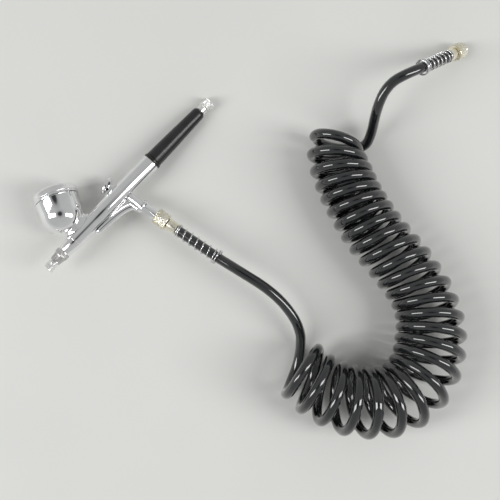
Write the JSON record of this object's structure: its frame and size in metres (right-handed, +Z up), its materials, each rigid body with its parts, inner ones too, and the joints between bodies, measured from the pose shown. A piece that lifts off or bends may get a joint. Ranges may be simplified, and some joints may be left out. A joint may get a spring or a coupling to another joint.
{
  "type": "airbrush gun",
  "caption": "Gravity-feed dual-action airbrush lying on its side, with a lidded metal paint cup, black handle and a coiled air hose with knurled end nuts.",
  "frame": {"origin": "centre of the gun's footprint, on the surface it lies on; the hose and its fittings are left out of the footprint", "axes": "+X from the spray tip to the tail, +Y towards the paint cup, +Z up from the surface"},
  "size_m": [0.2905, 0.2807, 0.044],
  "materials": {
    "chrome": "mirror-bright chrome plating",
    "dark_chrome": "darkened chrome plating, lightly fluted",
    "pale_nickel": "nickel-plated brass with a warm tint, diamond knurled",
    "bare_brass": "machined brass, unplated",
    "spring_steel": "bright drawn steel wire and ground steel",
    "black_handle": "satin black anodised",
    "rubber": "matt black nitrile rubber",
    "seal_plastic": "white low-friction plastic",
    "hose": "glossy black polyurethane hose"
  },
  "bodies": {
    "gun": {"needle_cap": "chrome", "air_cap": "dark_chrome", "fluid_nozzle": "bare_brass", "nozzle_head": "chrome", "head_seal": "seal_plastic", "main_body": "chrome", "paint_cup": "chrome", "finger_rest": "chrome", "valve_casing": "chrome", "valve_seal": "rubber", "valve_spring": "spring_steel", "valve_guide_screw": "bare_brass", "needle_seal": "seal_plastic", "packing_screw": "bare_brass", "needle_spring": "spring_steel", "spring_case": "bare_brass", "handle_collar": "black_handle", "handle": "black_handle", "hose_barb_gun": "bare_brass", "hose_ferrule_gun": "pale_nickel", "spring_guard_gun": "spring_steel", "hose_barb_far": "bare_brass", "hose_ferrule_far": "pale_nickel", "spring_guard_far": "spring_steel", "hose_lead_gun": "hose", "hose_coil": "hose", "hose_lead_far": "hose"},
    "cup_lid": {"cup_lid": "chrome"},
    "plunger": {"valve_plunger": "bare_brass"},
    "needle_group": {"needle": "spring_steel", "needle_tube": "bare_brass", "chuck_nut": "bare_brass"},
    "trigger": {"trigger": "chrome"},
    "back_lever": {"back_lever": "spring_steel"},
    "adjuster_knob": {"adjuster_knob": "chrome"},
    "adjuster_screw": {"adjuster_ring": "rubber"},
    "hose_nut_gun": {"hose_nut_gun": "pale_nickel"},
    "hose_nut_far": {"hose_nut_far": "pale_nickel"}
  },
  "joints": [
    {"name": "trigger_press", "type": "slide", "parent": "gun", "child": "plunger", "axis": [0.1541, -0.9829, 0.1009], "range_m": [0, 0.0013], "stiffness_N_per_m": 1200, "springref_m": -0.0004, "deforming": ["valve_spring"]},
    {"name": "trigger_pull", "type": "hinge", "parent": "plunger", "child": "trigger", "pos_m": [-0.00701, -0.00533, 0.0154], "axis": [-0.133, -0.1219, -0.9836], "range_deg": [0, 22]},
    {"name": "back_lever_swing", "type": "hinge", "parent": "gun", "child": "back_lever", "pos_m": [-0.00401, -0.00672, 0.01517], "axis": [-0.133, -0.1219, -0.9836], "range_deg": [0, 22]},
    {"name": "needle_slide", "type": "slide", "parent": "gun", "child": "needle_group", "axis": [0.991, 0, -0.134], "range_m": [0, 0.0028], "stiffness_N_per_m": 200, "springref_m": -0.0005, "deforming": ["needle_spring"]},
    {"name": "lid_lift", "type": "slide", "parent": "gun", "child": "cup_lid", "axis": [0.4244, 0.8898, -0.1676], "range_m": [0, 0.025]},
    {"name": "adjuster_travel", "type": "slide", "parent": "gun", "child": "adjuster_screw", "axis": [0.991, 0, -0.134], "range_m": [0, 0.004]},
    {"name": "adjuster_turn", "type": "hinge", "parent": "adjuster_screw", "child": "adjuster_knob", "pos_m": [0.06886, -0.00315, 0.00487], "axis": [0.991, 0, -0.134], "range_deg": [0, 2880]},
    {"name": "gun_nut_turn", "type": "hinge", "parent": "gun", "child": "hose_nut_gun", "pos_m": [-0.00255, -0.03391, 0.01834], "axis": [0.1541, -0.9829, 0.1009], "continuous": true},
    {"name": "far_nut_turn", "type": "hinge", "parent": "gun", "child": "hose_nut_far", "pos_m": [0.20888, -0.09973, 0.00691], "axis": [-0.6991, 0.2294, 0.6772], "continuous": true}
  ],
  "couplings": [
    {"joint": "trigger_pull", "follows": "needle_slide", "rad_per_m": 137},
    {"joint": "back_lever_swing", "follows": "needle_slide", "rad_per_m": 137},
    {"joint": "adjuster_turn", "follows": "adjuster_travel", "rad_per_m": 12566}
  ]
}
